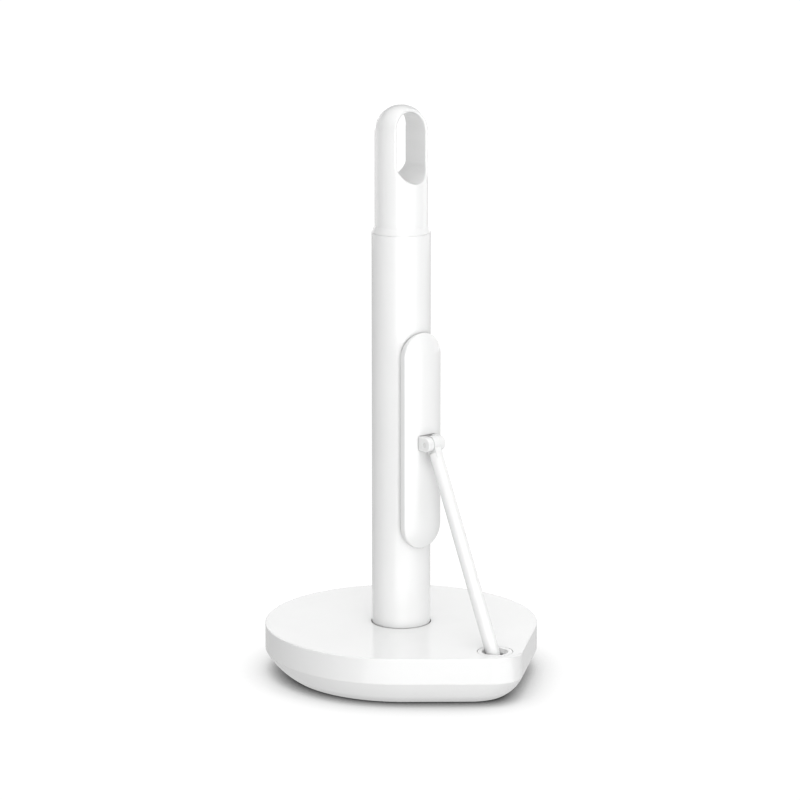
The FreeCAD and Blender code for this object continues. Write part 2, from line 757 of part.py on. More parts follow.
def on_pad_rim(edge, low, high):
    """True for an edge where the pad's side meets its outer face."""
    first, last = edge.ParameterRange
    for share in (0.0, 0.5, 1.0):
        p = edge.valueAt(first + share * (last - first))
        nearest = min(max(p.z, low), high)
        on_side = abs(math.hypot(p.y, p.z - nearest) - PAD_HALF) < 0.01
        on_face = abs(math.sqrt(p.x ** 2 + p.y ** 2 + (p.z - nearest) ** 2) - PAD_FACE_R) < 0.01
        if not (on_side and on_face):
            return False
    return True


def pad_liner():
    """Soft liner let into the pad's back, hollow to suit a roll."""
    return liner_slab().common(pad_back_cylinder(LINER_T)).cut(pad_back_cylinder(0))


def clevis_block():
    """Boss in the pad's pocket, with two round-ended lugs for the arm's tongue."""
    body = block(
        BLOCK_FLOOR_X,
        CLEVIS_X,
        -BLOCK_HALF_Y,
        BLOCK_HALF_Y,
        CLEVIS_Z - BLOCK_HALF_Z,
        CLEVIS_Z + BLOCK_HALF_Z,
    )
    body = body.fuse(along_y(BLOCK_HALF_Z, -BLOCK_HALF_Y, BLOCK_HALF_Y, CLEVIS)).removeSplitter()
    outer = [
        e
        for e in body.Edges
        if abs(abs(e.CenterOfMass.y) - BLOCK_HALF_Y) < 0.01 and e.BoundBox.XMax > BLOCK_FLOOR_X + 0.1
    ]
    body = body.makeFillet(0.8, outer)
    slot_half_z = BLOCK_HALF_Z + 1
    holes = [
        block(
            CLEVIS_SLOT_FLOOR_X,
            CLEVIS_X + 2 * BLOCK_HALF_Z,
            -CLEVIS_SLOT_HALF,
            CLEVIS_SLOT_HALF,
            CLEVIS_Z - slot_half_z,
            CLEVIS_Z + slot_half_z,
        ),
        along_y(CLEVIS_PIN_R, -BLOCK_HALF_Y - 1, BLOCK_HALF_Y + 1, CLEVIS),
    ]
    for y, z in clevis_screw_places():
        holes.append(along_x(CLEVIS_SCREW_R, BLOCK_FLOOR_X - 1, CLEVIS_SCREW_TIP_X, y, z))
    return body.cut(Part.makeCompound(holes))


def clevis_pin():
    """Pin fixed in the lugs; the arm's tongue turns on it."""
    body = along_y(CLEVIS_PIN_R, -CLEVIS_PIN_HALF, CLEVIS_PIN_HALF, CLEVIS)
    return body.makeChamfer(0.25, [e for e in body.Edges if e.Length > CLEVIS_PIN_R * 6 and e.Closed])


def clevis_screws():
    """Two small screws from the pad's back into the clevis block."""
    return [moved(clevis_screw_shape(), screw_head_x(), y, z) for y, z in clevis_screw_places()]


def save(node, shape):
    """Write one node, as a single solid or a group of separate solids."""
    solids = shape if isinstance(shape, list) else [shape]
    solids = [s for given in solids for s in given.Solids]
    for solid in solids:
        if not solid.isValid() or solid.Volume <= 0:
            raise RuntimeError(node + " holds a bad solid")
    whole = solids[0] if len(solids) == 1 else Part.makeCompound(solids)
    whole.exportStep(os.path.join("parts", node + ".step"))
    print(node, len(solids), round(whole.Volume, 1))


def main():
    os.makedirs("parts", exist_ok=True)
    save("base_shell", base_shell())
    save("ballast_plate", ballast_plate())
    save("ballast_screws", ballast_screws())
    save("bottom_cover", bottom_cover())
    save("cover_screws", cover_screws())
    save("non_slip_mat", non_slip_mat())
    save("post_tube", post_tube())
    save("post_foot_plug", post_foot_plug())
    save("tie_rod", tie_rod())
    save("tie_rod_washer", tie_rod_washer())
    save("tie_rod_nut", tie_rod_nut())
    save("handle_loop", handle_loop())
    save("handle_insert", handle_insert())
    save("socket_bezel", socket_bezel())
    save("pivot_bracket", pivot_bracket())
    save("bracket_screws", bracket_screws())
    save("pivot_pin", pivot_pin())
    save("pin_clips", pin_clips())
    save("torsion_spring", torsion_spring())
    save("arm_hub", arm_hub())
    save("pivot_bushes", pivot_bushes())
    save("arm_rod", arm_rod())
    save("rod_lock_pin", rod_lock_pin())
    save("pad_shell", pad_shell())
    save("pad_liner", pad_liner())
    save("clevis_block", clevis_block())
    save("clevis_pin", clevis_pin())
    save("clevis_screws", clevis_screws())


main()
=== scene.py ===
import json
import math

import bmesh
import bpy
from mathutils import Euler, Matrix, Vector


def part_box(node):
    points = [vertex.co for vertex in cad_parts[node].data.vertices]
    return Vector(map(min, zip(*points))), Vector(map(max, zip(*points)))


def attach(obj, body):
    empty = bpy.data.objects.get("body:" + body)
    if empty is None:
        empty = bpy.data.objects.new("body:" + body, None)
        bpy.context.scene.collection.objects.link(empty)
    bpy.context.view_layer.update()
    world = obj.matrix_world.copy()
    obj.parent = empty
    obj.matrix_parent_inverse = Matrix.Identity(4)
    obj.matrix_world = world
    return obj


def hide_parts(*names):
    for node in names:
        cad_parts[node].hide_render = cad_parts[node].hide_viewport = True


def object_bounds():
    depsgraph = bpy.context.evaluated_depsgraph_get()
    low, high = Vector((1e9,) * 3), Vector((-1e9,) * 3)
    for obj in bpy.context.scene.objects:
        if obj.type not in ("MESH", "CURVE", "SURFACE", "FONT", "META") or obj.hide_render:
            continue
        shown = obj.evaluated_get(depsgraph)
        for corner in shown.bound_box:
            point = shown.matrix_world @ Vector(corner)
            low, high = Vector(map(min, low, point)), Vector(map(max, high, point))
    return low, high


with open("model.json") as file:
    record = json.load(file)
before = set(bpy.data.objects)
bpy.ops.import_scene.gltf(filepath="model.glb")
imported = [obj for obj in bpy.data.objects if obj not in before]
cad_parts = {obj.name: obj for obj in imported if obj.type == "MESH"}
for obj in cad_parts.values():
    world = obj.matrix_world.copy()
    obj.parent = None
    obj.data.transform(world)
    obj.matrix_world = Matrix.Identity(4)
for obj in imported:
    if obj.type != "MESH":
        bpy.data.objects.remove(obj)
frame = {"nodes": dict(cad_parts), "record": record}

bpy.context.view_layer.update()
CAD_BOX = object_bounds()
NODES = frame["nodes"]

# Lengths are in metres and angles in degrees. An azimuth is a direction round the post's
# axis: 0 is -Y, and 90 is +X, where the arm is. Noise scales are cells per metre.

# ---------------------------------------------------------------- camera
LENS_MM = 162.0
SENSOR_MM = 36.0
CAMERA_RANGE = 2.26948
CAMERA_HEIGHT = 0.68502
CAMERA_AZIMUTH = 50.0
CAMERA_PITCH = 12.55
CAMERA_YAW = 0.0193
CLIP_END = 100.0


def on_ring(azimuth, radius, height):
    """The point at an azimuth, a distance from the post's axis and a height."""
    a = math.radians(azimuth)
    return Vector((radius * math.sin(a), -radius * math.cos(a), height))


def make_camera():
    """A long lens that looks slightly down at the holder, with depth of field off."""
    data = bpy.data.cameras.new("camera")
    data.lens = LENS_MM
    data.sensor_width = SENSOR_MM
    data.clip_end = CLIP_END
    data.dof.use_dof = False
    cam = bpy.data.objects.new("camera", data)
    cam.location = on_ring(CAMERA_AZIMUTH, CAMERA_RANGE, CAMERA_HEIGHT)
    tilt = math.radians(90.0 - CAMERA_PITCH)
    turn = math.radians(CAMERA_AZIMUTH + CAMERA_YAW)
    cam.rotation_euler = Euler((tilt, 0.0, turn))
    bpy.context.scene.collection.objects.link(cam)
    bpy.context.scene.camera = cam


# ---------------------------------------------------------------- node helpers
BEVEL_SAMPLES = 4
OCCLUSION_SAMPLES = 8
EDGE_COSINES = (0.995, 0.9)
# The colour sockets of a Mix node, which share their names with its other sockets.
MIX_A = 6
MIX_B = 7
MIX_OUT = 2


class Graph:
    """A small wrapper that makes and links shader nodes."""

    def __init__(self, tree):
        self.tree = tree
        self.tree.nodes.clear()

    def add(self, kind, **settings):
        node = self.tree.nodes.new(kind)
        for key, value in settings.items():
            setattr(node, key, value)
        return node

    def link(self, source, target):
        self.tree.links.new(source, target)

    def feed(self, value, socket):
        """Links a socket, or sets a plain value."""
        if isinstance(value, bpy.types.NodeSocket):
            self.link(value, socket)
        else:
            socket.default_value = value

    def coords(self):
        return self.add("ShaderNodeTexCoord").outputs["Object"]

    def noise(self, where, scale, detail=2.0, rough=0.5):
        n = self.add("ShaderNodeTexNoise")
        self.link(where, n.inputs["Vector"])
        n.inputs["Scale"].default_value = scale
        n.inputs["Detail"].default_value = detail
        n.inputs["Roughness"].default_value = rough
        return n.outputs["Fac"]

    def cells(self, where, scale):
        n = self.add("ShaderNodeTexVoronoi")
        self.link(where, n.inputs["Vector"])
        n.inputs["Scale"].default_value = scale
        return n.outputs["Distance"]

    def stretched(self, where, x, y, z):
        n = self.add("ShaderNodeMapping")
        self.link(where, n.inputs["Vector"])
        n.inputs["Scale"].default_value = (x, y, z)
        return n.outputs["Vector"]

    def spread(self, value, low, high, to_low, to_high):
        """Maps low..high to to_low..to_high, and holds the ends beyond them."""
        n = self.add("ShaderNodeMapRange")
        self.feed(value, n.inputs["Value"])
        n.inputs["From Min"].default_value = low
        n.inputs["From Max"].default_value = high
        self.feed(to_low, n.inputs["To Min"])
        self.feed(to_high, n.inputs["To Max"])
        return n.outputs["Result"]

    def math(self, how, a, b):
        n = self.add("ShaderNodeMath", operation=how)
        self.feed(a, n.inputs[0])
        self.feed(b, n.inputs[1])
        return n.outputs["Value"]

    def mix(self, fac, a, b):
        """Mixes two colours, each a socket or a tuple of three."""
        n = self.add("ShaderNodeMix", data_type="RGBA")
        self.feed(fac, n.inputs["Factor"])
        for value, socket in ((a, n.inputs[MIX_A]), (b, n.inputs[MIX_B])):
            if isinstance(value, tuple):
                value = (*value, 1.0)
            self.feed(value, socket)
        return n.outputs[MIX_OUT]

    def bevel(self, radius):
        n = self.add("ShaderNodeBevel", samples=BEVEL_SAMPLES)
        n.inputs["Radius"].default_value = radius
        return n.outputs["Normal"]

    def edge_mask(self, radius):
        """0 on open surfaces, rising to 1 where the surface bends within the radius."""
        soft = self.bevel(radius)
        flat = self.add("ShaderNodeNewGeometry")
        dot = self.add("ShaderNodeVectorMath", operation="DOT_PRODUCT")
        self.link(soft, dot.inputs[0])
        self.link(flat.outputs["Normal"], dot.inputs[1])
        return self.spread(dot.outputs["Value"], *EDGE_COSINES, 0.0, 1.0)

    def curve(self, value, points):
        n = self.add("ShaderNodeFloatCurve")
        self.link(value, n.inputs["Value"])
        line = n.mapping.curves[0]
        line.points[0].location = points[0]
        line.points[1].location = points[-1]
        for x, y in points[1:-1]:
            line.points.new(x, y)
        n.mapping.update()
        return n.outputs["Value"]

    def distance(self):
        """Distance of a floor point from the post's axis."""
        n = self.add("ShaderNodeVectorMath", operation="LENGTH")
        self.link(self.coords(), n.inputs[0])
        return n.outputs["Value"]

    def towards(self, azimuth):
        """Cosine of the angle between a floor point's bearing from the post and an azimuth."""
        bearing = self.add("ShaderNodeVectorMath", operation="NORMALIZE")
        self.link(self.coords(), bearing.inputs[0])
        dot = self.add("ShaderNodeVectorMath", operation="DOT_PRODUCT")
        self.link(bearing.outputs["Vector"], dot.inputs[0])
        dot.inputs[1].default_value = on_ring(azimuth, 1.0, 0.0)
        return dot.outputs["Value"]

    def occlusion(self, distance):
        n = self.add("ShaderNodeAmbientOcclusion", samples=OCCLUSION_SAMPLES)
        n.inputs["Distance"].default_value = distance
        return n.outputs["AO"]

    def bump(self, height, strength, distance, normal):
        n = self.add("ShaderNodeBump")
        n.inputs["Strength"].default_value = strength
        n.inputs["Distance"].default_value = distance
        self.link(height, n.inputs["Height"])
        self.link(normal, n.inputs["Normal"])
        return n.outputs["Normal"]

    def principled(self, **values):
        n = self.add("ShaderNodeBsdfPrincipled")
        for key, value in values.items():
            self.feed(value, n.inputs[key.replace("_", " ")])
        out = self.add("ShaderNodeOutputMaterial")
        self.link(n.outputs["BSDF"], out.inputs["Surface"])


def material(name):
    m = bpy.data.materials.new(name)
    m.use_nodes = True
    return m, Graph(m.node_tree)


def scaled(color, by):
    """A colour made darker or brighter by one factor, held at full white."""
    return tuple(min(1.0, c * by) for c in color)


# ---------------------------------------------------------------- white coatings
WHITE = (0.875, 0.877, 0.875)
PIN_WHITE = (0.82, 0.82, 0.815)
WHITE_ROUGH = (0.125, 0.175)
WHITE_IOR = 1.5
COAT_ROUGH = 0.08
CLOUD_SCALE = 22.0
CLOUD_RANGE = (0.3, 0.7)
CLOUD_DARKER = 0.975
SPECK_SCALE = 1100.0
SPECK_RANGE = (0.6, 0.8)
SPECK_MOST = 0.2
WEAR_SCALE = 160.0
WEAR_RANGE = (0.45, 0.7)
WEAR_MOST = 0.6
WEAR_TINT = (0.985, 0.975, 0.955)
# Painted shade: where occlusion is low, in crevices and between parts, the white's colour is
# darkened by up to a quarter.
PAINTED_SHADE_RANGE = (0.15, 0.9)
PAINTED_SHADE_MOST = 0.5
PAINTED_SHADE_DARKER = 0.5
PAINTED_SHADE_REACH = 0.012
SMUDGE_SCALE = 55.0
SMUDGE_RANGE = (0.3, 0.75)
PEEL_STRENGTH = 0.35

# reach is how far the painted shade looks for nearby surfaces; on the handle it darkens the
# whole finger slot.
WHITES = {
    "white_shell": dict(peel=420.0, depth=0.00003, coat=0.1, edge=0.0008, reach=0.006),
    "white_enamel": dict(peel=640.0, depth=0.00003, coat=0.15, edge=0.0006, reach=0.007),
    "white_handle": dict(peel=640.0, depth=0.00003, coat=0.15, edge=0.0008, reach=0.03),
    "white_trim": dict(peel=800.0, depth=0.00002, coat=0.1, edge=0.0003),
    "white_rod": dict(peel=700.0, depth=0.00002, coat=0.15, edge=0.0003),
    "white_pad": dict(peel=420.0, depth=0.00003, coat=0.1, edge=0.0005, reach=0.01),
    "white_clevis": dict(peel=800.0, depth=0.00002, coat=0.1, edge=0.0003),
    "white_pin": dict(peel=900.0, depth=0.00002, coat=0.1, edge=0.0002, color=PIN_WHITE),
}


def white_coating(name, peel, depth, coat, edge, reach=PAINTED_SHADE_REACH, color=WHITE):
    """Gloss white: faint cloudiness, specks, orange peel, worn edges, and painted shade that
    darkens the colour in crevices and between parts.
    """
    m, g = material(name)
    where = g.coords()
    cloud = g.noise(where, CLOUD_SCALE, detail=3.0)
    speck = g.noise(where, SPECK_SCALE, detail=1.0)
    shade = scaled(color, CLOUD_DARKER)
    base = g.mix(g.spread(cloud, *CLOUD_RANGE, 0.0, 1.0), color, shade)
    base = g.mix(g.spread(speck, *SPECK_RANGE, 0.0, SPECK_MOST), base, shade)
    patches = g.noise(where, WEAR_SCALE, detail=3.0)
    patches = g.spread(patches, *WEAR_RANGE, 0.0, WEAR_MOST)
    worn = g.math("MULTIPLY", g.edge_mask(edge), patches)
    warm = tuple(c * t for c, t in zip(color, WEAR_TINT))
    base = g.mix(worn, base, warm)
    # Painted shade: occlusion darkens the base colour where other surfaces are near.
    painted_shade = g.spread(g.occlusion(reach), *PAINTED_SHADE_RANGE, PAINTED_SHADE_MOST, 0.0)
    base = g.mix(painted_shade, base, scaled(color, PAINTED_SHADE_DARKER))
    smudge = g.noise(where, SMUDGE_SCALE, detail=4.0, rough=0.6)
    roughness = g.spread(smudge, *SMUDGE_RANGE, *WHITE_ROUGH)
    normal = g.bump(g.noise(where, peel), PEEL_STRENGTH, depth, g.bevel(edge))
    g.principled(
        Base_Color=base, Roughness=roughness, Normal=normal, IOR=WHITE_IOR,
        Coat_Weight=coat, Coat_Roughness=COAT_ROUGH, Coat_Normal=normal,
    )
    return m


# ---------------------------------------------------------------- metals
PLATING_SCALE = 90.0
PLATING_RANGE = (0.3, 0.75)
PLATING_DARKER = 0.72
RUBBED_BRIGHTER = 1.25
RUBBED_EDGE = 0.0004
RUBBED_MOST = 0.6
METAL_ROUGH_RANGE = (-0.08, 0.12)
METAL_GRAIN_RANGE = (0.25, 0.75)
METAL_GRAIN_STRENGTH = 0.3
METAL_GRAIN_DEPTH = 0.00002
METAL_BEVEL = 0.00025

METALS = {
    "zinc_steel": dict(color=(0.56, 0.58, 0.61), rough=0.3, grain=900.0),
    "spring_steel": dict(color=(0.42, 0.42, 0.44), rough=0.26, grain=1200.0),
    "brass_insert": dict(
        color=(0.72, 0.53, 0.25), rough=0.28, grain=1200.0, stretch=(0.2, 0.2, 3.0)
    ),
}


def metal(name, color, rough, grain, stretch=(1.0, 1.0, 1.0)):
    """Plated or drawn metal with a fine grain, cloudy plating and brighter rubbed edges."""
    m, g = material(name)
    where = g.coords()
    along = g.stretched(where, *stretch)
    cloud = g.noise(where, PLATING_SCALE, detail=4.0, rough=0.6)
    lines = g.noise(along, grain, detail=3.0, rough=0.6)
    dark = scaled(color, PLATING_DARKER)
    base = g.mix(g.spread(cloud, *PLATING_RANGE, 0.0, 1.0), color, dark)
    rubbed = g.math("MULTIPLY", g.edge_mask(RUBBED_EDGE), RUBBED_MOST)
    base = g.mix(rubbed, base, scaled(color, RUBBED_BRIGHTER))
    low, high = (rough + r for r in METAL_ROUGH_RANGE)
    roughness = g.spread(lines, *METAL_GRAIN_RANGE, low, high)
    normal = g.bump(lines, METAL_GRAIN_STRENGTH, METAL_GRAIN_DEPTH, g.bevel(METAL_BEVEL))
    g.principled(Base_Color=base, Roughness=roughness, Normal=normal, Metallic=1.0)
    return m


# ---------------------------------------------------------------- matt materials
BLOOM_SCALE = 40.0
BLOOM_RANGE = (0.25, 0.75)
FLECK_RANGE = (0.5, 0.9)
FLECK_MOST = 0.4
SCUFF_EDGE = 0.0006
SCUFF_MOST = 0.5
MATT_ROUGH_RANGE = (-0.1, 0.08)
MATT_GRAIN_RANGE = (0.2, 0.8)
MATT_GRAIN_STRENGTH = 0.5
MATT_BEVEL = 0.0004

MATTS = {
    "soft_liner": dict(
        color=(0.52, 0.52, 0.51), light=(0.62, 0.62, 0.6),
        rough=0.8, grain=1500.0, depth=0.0002, cells=True,
    ),
    "grey_rubber": dict(
        color=(0.035, 0.035, 0.037), light=(0.075, 0.075, 0.075),
        rough=0.72, grain=1300.0, depth=0.0001,
    ),
    "dark_plastic": dict(
        color=(0.05, 0.05, 0.053), light=(0.085, 0.085, 0.088),
        rough=0.55, grain=2200.0, depth=0.0001,
    ),
    "nylon_bush": dict(
        color=(0.68, 0.66, 0.6), light=(0.76, 0.75, 0.7),
        rough=0.42, grain=900.0, depth=0.00005,
    ),
    "cast_weight": dict(
        color=(0.07, 0.068, 0.068), light=(0.15, 0.13, 0.115),
        rough=0.7, grain=800.0, depth=0.0003,
    ),
}


def matt(name, color, light, rough, grain, depth, cells=False):
    """Rubber, foam, plastic or cast metal: a grained, uneven, matt surface."""
    m, g = material(name)
    where = g.coords()
    cloud = g.noise(where, BLOOM_SCALE, detail=4.0, rough=0.6)
    if cells:
        texture = g.cells(where, grain)
    else:
        texture = g.noise(where, grain, detail=4.0, rough=0.65)
    base = g.mix(g.spread(cloud, *BLOOM_RANGE, 0.0, 1.0), color, light)
    base = g.mix(g.spread(texture, *FLECK_RANGE, 0.0, FLECK_MOST), base, light)
    base = g.mix(g.math("MULTIPLY", g.edge_mask(SCUFF_EDGE), SCUFF_MOST), base, light)
    low, high = (rough + r for r in MATT_ROUGH_RANGE)
    roughness = g.spread(texture, *MATT_GRAIN_RANGE, low, high)
    normal = g.bump(texture, MATT_GRAIN_STRENGTH, depth, g.bevel(MATT_BEVEL))
    g.principled(Base_Color=base, Roughness=roughness, Normal=normal)
    return m


def make_materials():
    """One procedural material for each slot in the record."""
    made = {}
    for recipe, looks in ((white_coating, WHITES), (matt, MATTS), (metal, METALS)):
        for slot, look in looks.items():
            made[slot] = recipe(slot, **look)
    return made


def dress_nodes(materials):
    """Gives every CAD node the procedural material of its own slot."""
    for s in frame["record"]["subparts"]:
        mesh = NODES[s["node"]].data
        for i in range(len(mesh.materials)):
            mesh.materials[i] = materials[s["material_slot"]]


# ---------------------------------------------------------------- floor
FLOOR_HALF = 12.0
FLOOR_GAP = 0.0002
FLOOR_SEEN = 1.06
FLOOR_BOUNCE = 0.68
FLOOR_GRAIN_SCALE = 300.0
FLOOR_GRAIN_RANGE = (0.3, 0.7)
FLOOR_GRAIN = (0.997, 1.003)
CLOSE_REACH = 0.034
CLOSE_CURVE = (
    (0.0, 0.02), (0.15, 0.07), (0.3, 0.28), (0.5, 0.64), (0.65, 0.86), (0.8, 0.95), (1.0, 1.0),
)
WIDE_REACH = 0.07
WIDE_RANGE = (0.4, 1.0)
WIDE_SHADE = (0.95, 1.0)
POOL_AZIMUTH = 67.5
POOL_COSINES = (0.745, 0.785)
POOL_GAIN = 0.25
POOL_START = 0.28
POOL_FADE = 0.15
SHINE_GAIN = 1.5
SHINE_START = 0.11
SHINE_FADE = 0.02


def contact_shadow(g):
    """The floor's shade close to whatever stands on it, from occlusion, with a faint grain."""
    close = g.curve(g.occlusion(CLOSE_REACH), CLOSE_CURVE)
    wide = g.spread(g.occlusion(WIDE_REACH), *WIDE_RANGE, *WIDE_SHADE)
    speckle = g.noise(g.coords(), FLOOR_GRAIN_SCALE)
    grain = g.spread(speckle, *FLOOR_GRAIN_RANGE, *FLOOR_GRAIN)
    return g.math("MULTIPLY", g.math("MULTIPLY", close, wide), grain)


def floor_bounce(g, is_gloss):
    """The level that lights the object: brighter in a wedge in front, most so in reflections."""
    wedge = g.spread(g.towards(POOL_AZIMUTH), *POOL_COSINES, 0.0, 1.0)
    reach = g.distance()
    away = g.spread(reach, POOL_START, POOL_START + POOL_FADE, 0.0, POOL_GAIN)
    near = g.spread(reach, SHINE_START, SHINE_START + SHINE_FADE, 0.0, SHINE_GAIN)
    shine = g.math("MULTIPLY", near, is_gloss)
    pool = g.math("MULTIPLY", wedge, g.math("ADD", away, shine))
    return g.math("ADD", FLOOR_BOUNCE, pool)


def make_floor():
    """A white floor that gives off light: one level for the camera, another for the object."""
    bottom = CAD_BOX[0].z - FLOOR_GAP
    corners = [(-1, -1), (1, -1), (1, 1), (-1, 1)]
    mesh = bpy.data.meshes.new("floor")
    points = [(x * FLOOR_HALF, y * FLOOR_HALF, bottom) for x, y in corners]
    mesh.from_pydata(points, [], [(0, 1, 2, 3)])
    floor = bpy.data.objects.new("floor", mesh)
    bpy.context.scene.collection.objects.link(floor)
    m, g = material("floor_white")
    seen = g.math("MULTIPLY", contact_shadow(g), FLOOR_SEEN)
    path = g.add("ShaderNodeLightPath")
    bounce = floor_bounce(g, path.outputs["Is Glossy Ray"])
    level = g.spread(path.outputs["Is Camera Ray"], 0.0, 1.0, bounce, seen)
    emit = g.add("ShaderNodeEmission")
    g.link(level, emit.inputs["Strength"])
    out = g.add("ShaderNodeOutputMaterial")
    g.link(emit.outputs["Emission"], out.inputs["Surface"])
    mesh.materials.append(m)


# ---------------------------------------------------------------- light
SKY_SEEN = 1.06
SKY_GLOW = 2.0
SKY_POWER = 2.6
SKY_LOW = 0.06
AIM_HEIGHT = 0.17
# Each soft box: name, azimuth, distance from the post, height, width, tallness, watts.
SOFT_BOXES = (
    ("front", 53.0, 1.6, 0.35, 1.2, 0.9, 8.3),
    ("front_low", 62.0, 1.2, 0.08, 0.5, 0.3, 2.6),
    ("front_high", 56.0, 1.25, 1.5, 1.2, 1.2, 5.4),
    ("front_right", 98.0, 1.5, 0.6, 0.8, 0.9, 2.6),
    ("back", 230.0, 1.5, 0.4, 1.8, 0.5, 2.9),
    ("back_left", 275.0, 1.5, 0.45, 1.1, 0.9, 2.4),
    ("back_right", 178.0, 1.5, 0.45, 1.2, 0.9, 3.6),
)


def make_sky():
    """A white surround for the camera, and for the object a glow that grows overhead."""
    world = bpy.data.worlds.new("studio")
    bpy.context.scene.world = world
    world.use_nodes = True
    g = Graph(world.node_tree)
    direction = g.add("ShaderNodeTexCoord").outputs["Generated"]
    split = g.add("ShaderNodeSeparateXYZ")
    g.link(direction, split.inputs["Vector"])
    upward = g.math("MAXIMUM", split.outputs["Z"], 0.0)
    glow = g.math("MULTIPLY", g.math("POWER", upward, SKY_POWER), SKY_GLOW)
    glow = g.math("ADD", glow, SKY_LOW)
    path = g.add("ShaderNodeLightPath").outputs["Is Camera Ray"]
    back = g.add("ShaderNodeBackground")
    g.link(g.spread(path, 0.0, 1.0, glow, SKY_SEEN), back.inputs["Strength"])
    out = g.add("ShaderNodeOutputWorld")
    g.link(back.outputs["Background"], out.inputs["Surface"])


def soft_box(name, azimuth, radius, height, width, tall, power):
    """A rectangular light on a ring round the post, aimed at the post's axis."""
    data = bpy.data.lights.new(name, "AREA")
    data.shape = "RECTANGLE"
    data.size = width
    data.size_y = tall
    data.energy = power
    lamp = bpy.data.objects.new(name, data)
    lamp.location = on_ring(azimuth, radius, height)
    aim = Vector((0.0, 0.0, AIM_HEIGHT)) - lamp.location
    lamp.rotation_euler = aim.to_track_quat("-Z", "Y").to_euler()
    lamp.visible_camera = False
    bpy.context.scene.collection.objects.link(lamp)


def make_light():
    """A white studio: the sky's glow, soft boxes in front, and weaker ones behind."""
    make_sky()
    for box in SOFT_BOXES:
        soft_box(*box)
    settings = bpy.context.scene.view_settings
    settings.view_transform = "Standard"
    settings.look = "None"


# ---------------------------------------------------------------- mesh helpers
SHARP_ANGLE = 35.0


def mesh_of(name, points, faces):
    """A mesh whose faces all point outwards."""
    mesh = bpy.data.meshes.new(name)
    mesh.from_pydata([tuple(p) for p in points], [], faces)
    work = bmesh.new()
    work.from_mesh(mesh)
    bmesh.ops.recalc_face_normals(work, faces=work.faces)
    work.to_mesh(mesh)
    work.free()
    return mesh


def make_piece(name, points, faces, node, body, slot, sharp=SHARP_ANGLE):
    """A mesh object that stands for a CAD node, in the row frame, in metres."""
    mesh = mesh_of(name, points, faces)
    for polygon in mesh.polygons:
        polygon.use_smooth = True
    mesh.set_sharp_from_angle(angle=math.radians(sharp))
    mesh.materials.append(MATERIALS[slot])
    piece = bpy.data.objects.new(name, mesh)
    bpy.context.scene.collection.objects.link(piece)
    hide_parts(node)
    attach(piece, body)


def closed_skin(rings):
    """Points and faces of a solid through a stack of closed rings with one count."""
    count = len(rings[0])
    points = [p for ring in rings for p in ring]
    faces = []
    for k in range(len(rings) - 1):
        a = k * count
        for i in range(count):
            j = (i + 1) % count
            faces.append((a + i, a + j, a + count + j, a + count + i))
    faces.append(tuple(reversed(range(count))))
    last = len(points) - count
    faces.append(tuple(range(last, len(points))))
    return points, faces


def joined(parts):
    """Several sets of points and faces as one."""
    points, faces = [], []
    for more_points, more_faces in parts:
        start = len(points)
        points += more_points
        faces += [tuple(i + start for i in f) for f in more_faces]
    return points, faces


def circle(radius, x, y, z, count):
    """A level ring of evenly spaced points round (x, y)."""
    turns = [2 * math.pi * i / count for i in range(count)]
    return [(x + radius * math.cos(t), y + radius * math.sin(t), z) for t in turns]


# ---------------------------------------------------------------- mat
MAT_CORNER = 0.0048
MAT_FIELD = 0.00045
# The mat's section below its side, round to the sunk field: inset, height.
MAT_SECTION = ((0.0, 0.0003), (0.0003, 0.0), (0.002, 0.0), (0.0022, MAT_FIELD))
MAT_POINTS = 240
STUD_PITCH = 0.0062
STUD_PROFILE = ((0.0019, 0.0006), (0.0019, 0.00025), (0.0017, 0.00006), (0.0013, 0.0))
STUD_POINTS = 14
STUD_MARGIN = 0.0045
NOSE_MARGIN = 0.001


def teardrop(big, small, corner_x, z):
    """The mat's outline: points spaced evenly by the direction that they face."""
    lean = math.acos((big - small) / corner_x)
    ring = []
    for i in range(MAT_POINTS):
        t = -math.pi + 2 * math.pi * (i + 0.5) / MAT_POINTS
        x, r = (corner_x, small) if abs(t) < lean else (0.0, big)
        ring.append((x + r * math.cos(t), r * math.sin(t), z))
    return ring


def make_mat():
    """Rubber mat: a moulded rim, a sunk field and rows of low round studs."""
    low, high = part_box("non_slip_mat")
    big = high.y
    corner_x = high.x - MAT_CORNER
    steps = ((0.0, high.z - low.z), *MAT_SECTION)
    rings = [teardrop(big - o, MAT_CORNER - o, corner_x, low.z + z) for o, z in steps]
    parts = [closed_skin(rings)]
    lean = math.acos((big - MAT_CORNER) / corner_x)
    limit = big - STUD_MARGIN
    row = STUD_PITCH * math.sqrt(3) / 2
    rows = int(big / row)
    first = math.floor(low.x / STUD_PITCH)
    last = math.ceil(high.x / STUD_PITCH)
    for r in range(-rows, rows + 1):
        y = r * row
        for c in range(first, last + 1):
            x = (c + 0.5 * (r % 2)) * STUD_PITCH
            on_disc = math.hypot(x, y) < limit
            in_nose = x > 0 and x * math.cos(lean) + abs(y) * math.sin(lean) < limit
            if not on_disc and not (in_nose and x < corner_x - NOSE_MARGIN):
                continue
            stud = [circle(radius, x, y, low.z + z, STUD_POINTS) for radius, z in STUD_PROFILE]
            parts.append(closed_skin(stud))
    points, faces = joined(parts)
    make_piece("mat_with_studs", points, faces, "non_slip_mat", "base", "grey_rubber")


# ---------------------------------------------------------------- screws
HEAD_INSET = 0.0002
HEAD_ROUND = 0.0001
HEAD_RIM = 0.0003
HEAD_CONE = 0.9
SCREW_TIP = 0.001
TIP_SCALE = 0.5
THREAD_PITCH = 0.00035
THREAD_ROOT = 0.86
SCREW_POINTS = 40
SCREW_SHARP = 30.0
RECESS_ARM = 0.58
RECESS_WIDTH = 0.13
# The recess cutter's size at its mouth, at the head's face and at its tip.
RECESS_SCALES = (1.25, 1.0, 0.45)
RECESS_LEAD = 0.3


